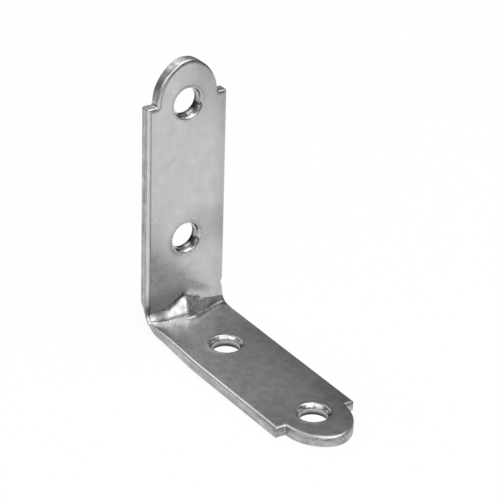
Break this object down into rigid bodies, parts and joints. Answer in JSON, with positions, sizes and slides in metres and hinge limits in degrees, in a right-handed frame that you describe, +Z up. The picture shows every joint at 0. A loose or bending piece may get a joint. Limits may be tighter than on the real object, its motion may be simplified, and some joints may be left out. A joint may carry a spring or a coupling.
{
  "type": "corner brace bracket",
  "caption": "Steel strip folded to a right angle, with domed tips, countersunk screw holes in both arms and a ridge pressed into the fold, for joining two boards or rails at a corner.",
  "frame": {"origin": "middle of the foot's length and width, on its underside", "axes": "+X along the foot, away from the fold, the way the upright's inner face looks; +Y across the strip; +Z up the upright"},
  "size_m": [0.049, 0.016, 0.051],
  "materials": {
    "zinc_plate": "zinc-plated sheet steel, satin, faintly mottled, with brighter worn edges"
  },
  "bodies": {
    "root": {"brace": "zinc_plate"}
  },
  "joints": []
}
